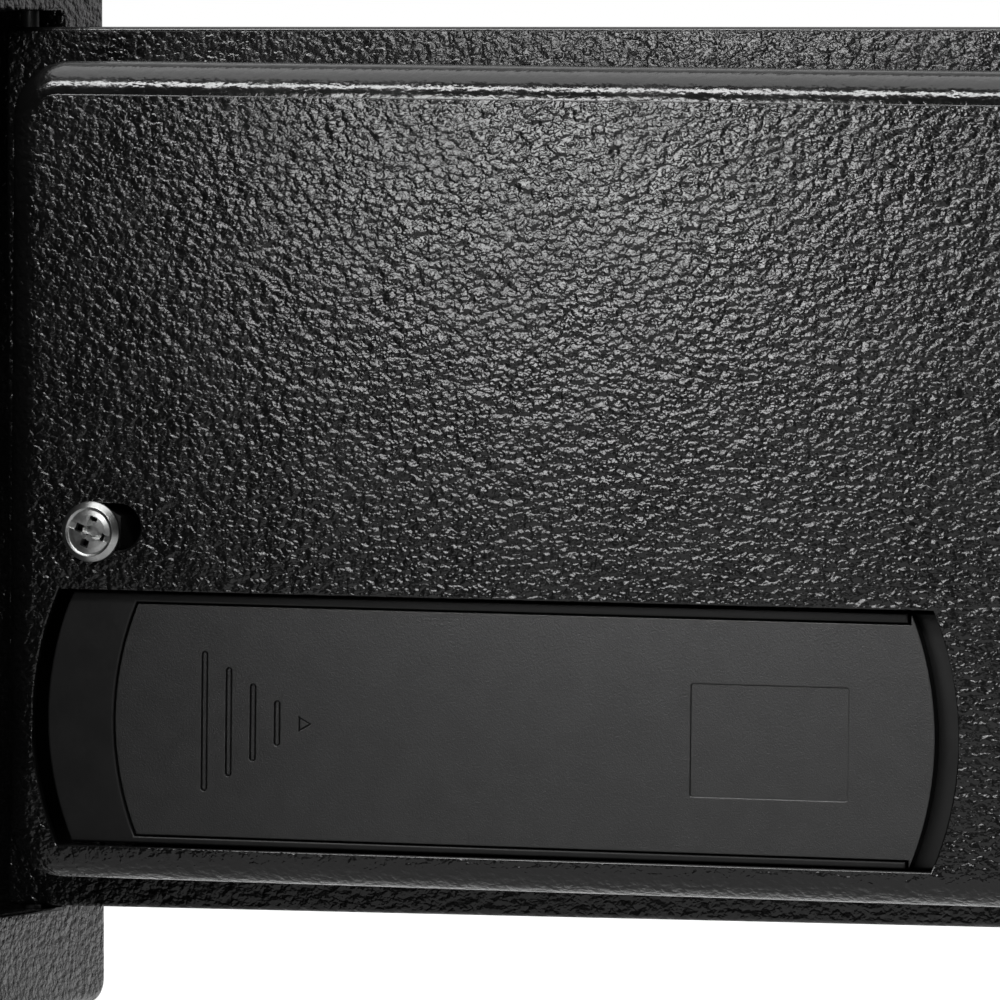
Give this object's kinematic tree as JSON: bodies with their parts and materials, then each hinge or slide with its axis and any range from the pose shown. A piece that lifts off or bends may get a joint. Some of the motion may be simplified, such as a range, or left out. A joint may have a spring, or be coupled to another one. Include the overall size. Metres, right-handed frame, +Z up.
{
  "type": "electronic safe",
  "caption": "Small black steel electronic safe with its door standing open, showing a formed inner cover with a sliding battery lid; keypad, knob and bolts on the door.",
  "frame": {"origin": "centre of the body's underside", "axes": "+Z up, -Y out of the front, +X to the right seen from the front, where the hinge is; the door rests open by 97.49 degrees"},
  "size_m": [0.2546, 0.3605, 0.17],
  "materials": {
    "powder_coat": "black powder coat with a coarse leather grain, satin",
    "felt": "grey needle felt",
    "rubber": "matt black rubber",
    "steel": "bright drawn steel",
    "zinc": "clear zinc plate",
    "chrome": "nickel-bright plate",
    "brass": "machined brass",
    "copper": "enamelled copper winding",
    "black_plastic": "fine-grained satin black plastic",
    "cell_sleeve": "plain blue printed sleeve",
    "red_plastic": "red plastic",
    "amber_plastic": "amber plastic",
    "green_plastic": "green plastic",
    "laminate": "green circuit laminate",
    "key_plastic": "light grey moulded plastic"
  },
  "bodies": {
    "safe_body": {"body_shell": "powder_coat", "front_frame": "powder_coat", "back_panel": "powder_coat", "floor_mat": "felt", "anchor_plug_left": "rubber", "anchor_plug_right": "rubber"},
    "door": {"door_plate": "powder_coat", "door_cover": "powder_coat", "hinge_pin_top": "steel", "hinge_pin_bottom": "steel", "cover_screw_hinge_side": "zinc", "cover_screw_bolt_side": "zinc", "cover_post_hinge_side": "zinc", "cover_post_bolt_side": "zinc", "battery_box": "black_plastic", "battery_1": "cell_sleeve", "battery_2": "cell_sleeve", "battery_3": "cell_sleeve", "battery_4": "cell_sleeve", "contact_spring_lower": "zinc", "contact_spring_upper": "zinc", "contact_link": "zinc", "keypad_fascia": "black_plastic", "keypad_membrane": "rubber", "lamp_red": "red_plastic", "lamp_amber": "amber_plastic", "lamp_green": "green_plastic", "circuit_board": "laminate", "buzzer": "black_plastic", "spindle_bush": "brass", "bolt_bracket": "zinc", "solenoid_frame": "zinc", "solenoid_coil": "copper", "override_lock_body": "chrome", "override_lock_nut": "zinc", "plunger_spring": "steel"},
    "knob_set": {"knob": "black_plastic", "knob_spindle": "steel", "crank_arm": "zinc"},
    "bolt_set": {"bolt_carriage": "zinc", "bolt_lower": "chrome", "bolt_upper": "chrome"},
    "plunger": {"solenoid_plunger": "steel"},
    "override": {"override_plug": "brass", "override_cam": "steel"},
    "keyhole_cover": {"keyhole_cap": "black_plastic"},
    "reset": {"reset_button": "red_plastic"},
    "battery_lid": {"battery_cover": "black_plastic"},
    "key_1": {"key_1": "key_plastic"},
    "key_4": {"key_4": "key_plastic"},
    "key_7": {"key_7": "key_plastic"},
    "key_star": {"key_star": "key_plastic"},
    "key_2": {"key_2": "key_plastic"},
    "key_5": {"key_5": "key_plastic"},
    "key_8": {"key_8": "key_plastic"},
    "key_0": {"key_0": "key_plastic"},
    "key_3": {"key_3": "key_plastic"},
    "key_6": {"key_6": "key_plastic"},
    "key_9": {"key_9": "key_plastic"},
    "key_hash": {"key_hash": "key_plastic"}
  },
  "joints": [
    {"name": "door_hinge", "type": "hinge", "parent": "safe_body", "child": "door", "pos_m": [0.0959, -0.0818, 0.085], "axis": [0, 0, 1], "range_deg": [-97.49, 17]},
    {"name": "knob_turn", "type": "hinge", "parent": "door", "child": "knob_set", "pos_m": [0.11321, -0.22728, 0.0905], "axis": [0.9915, 0.1304, 0], "range_deg": [0, 90]},
    {"name": "bolt_slide", "type": "slide", "parent": "door", "child": "bolt_set", "axis": [0.1304, -0.9915, 0], "range_m": [0, 0.0108]},
    {"name": "plunger_slide", "type": "slide", "parent": "door", "child": "plunger", "axis": [0, 0, 1], "range_m": [-0.0045, 0], "deforming": ["plunger_spring"]},
    {"name": "override_turn", "type": "hinge", "parent": "door", "child": "override", "pos_m": [0.10982, -0.20151, 0.1142], "axis": [-0.9915, -0.1304, 0], "range_deg": [0, 90]},
    {"name": "keyhole_cap_pull", "type": "slide", "parent": "door", "child": "keyhole_cover", "axis": [0.9915, 0.1304, 0], "range_m": [0, 0.006]},
    {"name": "reset_press", "type": "slide", "parent": "door", "child": "reset", "axis": [0.9915, 0.1304, 0], "range_m": [0, 0.001], "stiffness_N_per_m": 400},
    {"name": "battery_cover_slide", "type": "slide", "parent": "door", "child": "battery_lid", "axis": [0.1303, -0.9914, -0.0116], "range_m": [0, 0.0038]},
    {"name": "key_1_press", "type": "slide", "parent": "door", "child": "key_1", "axis": [-0.9915, -0.1304, 0], "range_m": [0, 0.0012], "stiffness_N_per_m": 400},
    {"name": "key_4_press", "type": "slide", "parent": "door", "child": "key_4", "axis": [-0.9915, -0.1304, 0], "range_m": [0, 0.0012], "stiffness_N_per_m": 400},
    {"name": "key_7_press", "type": "slide", "parent": "door", "child": "key_7", "axis": [-0.9915, -0.1304, 0], "range_m": [0, 0.0012], "stiffness_N_per_m": 400},
    {"name": "key_star_press", "type": "slide", "parent": "door", "child": "key_star", "axis": [-0.9915, -0.1304, 0], "range_m": [0, 0.0012], "stiffness_N_per_m": 400},
    {"name": "key_2_press", "type": "slide", "parent": "door", "child": "key_2", "axis": [-0.9915, -0.1304, 0], "range_m": [0, 0.0012], "stiffness_N_per_m": 400},
    {"name": "key_5_press", "type": "slide", "parent": "door", "child": "key_5", "axis": [-0.9915, -0.1304, 0], "range_m": [0, 0.0012], "stiffness_N_per_m": 400},
    {"name": "key_8_press", "type": "slide", "parent": "door", "child": "key_8", "axis": [-0.9915, -0.1304, 0], "range_m": [0, 0.0012], "stiffness_N_per_m": 400},
    {"name": "key_0_press", "type": "slide", "parent": "door", "child": "key_0", "axis": [-0.9915, -0.1304, 0], "range_m": [0, 0.0012], "stiffness_N_per_m": 400},
    {"name": "key_3_press", "type": "slide", "parent": "door", "child": "key_3", "axis": [-0.9915, -0.1304, 0], "range_m": [0, 0.0012], "stiffness_N_per_m": 400},
    {"name": "key_6_press", "type": "slide", "parent": "door", "child": "key_6", "axis": [-0.9915, -0.1304, 0], "range_m": [0, 0.0012], "stiffness_N_per_m": 400},
    {"name": "key_9_press", "type": "slide", "parent": "door", "child": "key_9", "axis": [-0.9915, -0.1304, 0], "range_m": [0, 0.0012], "stiffness_N_per_m": 400},
    {"name": "key_hash_press", "type": "slide", "parent": "door", "child": "key_hash", "axis": [-0.9915, -0.1304, 0], "range_m": [0, 0.0012], "stiffness_N_per_m": 400}
  ],
  "couplings": [
    {"joint": "bolt_slide", "follows": "knob_turn", "m_per_rad": 0.006842}
  ]
}
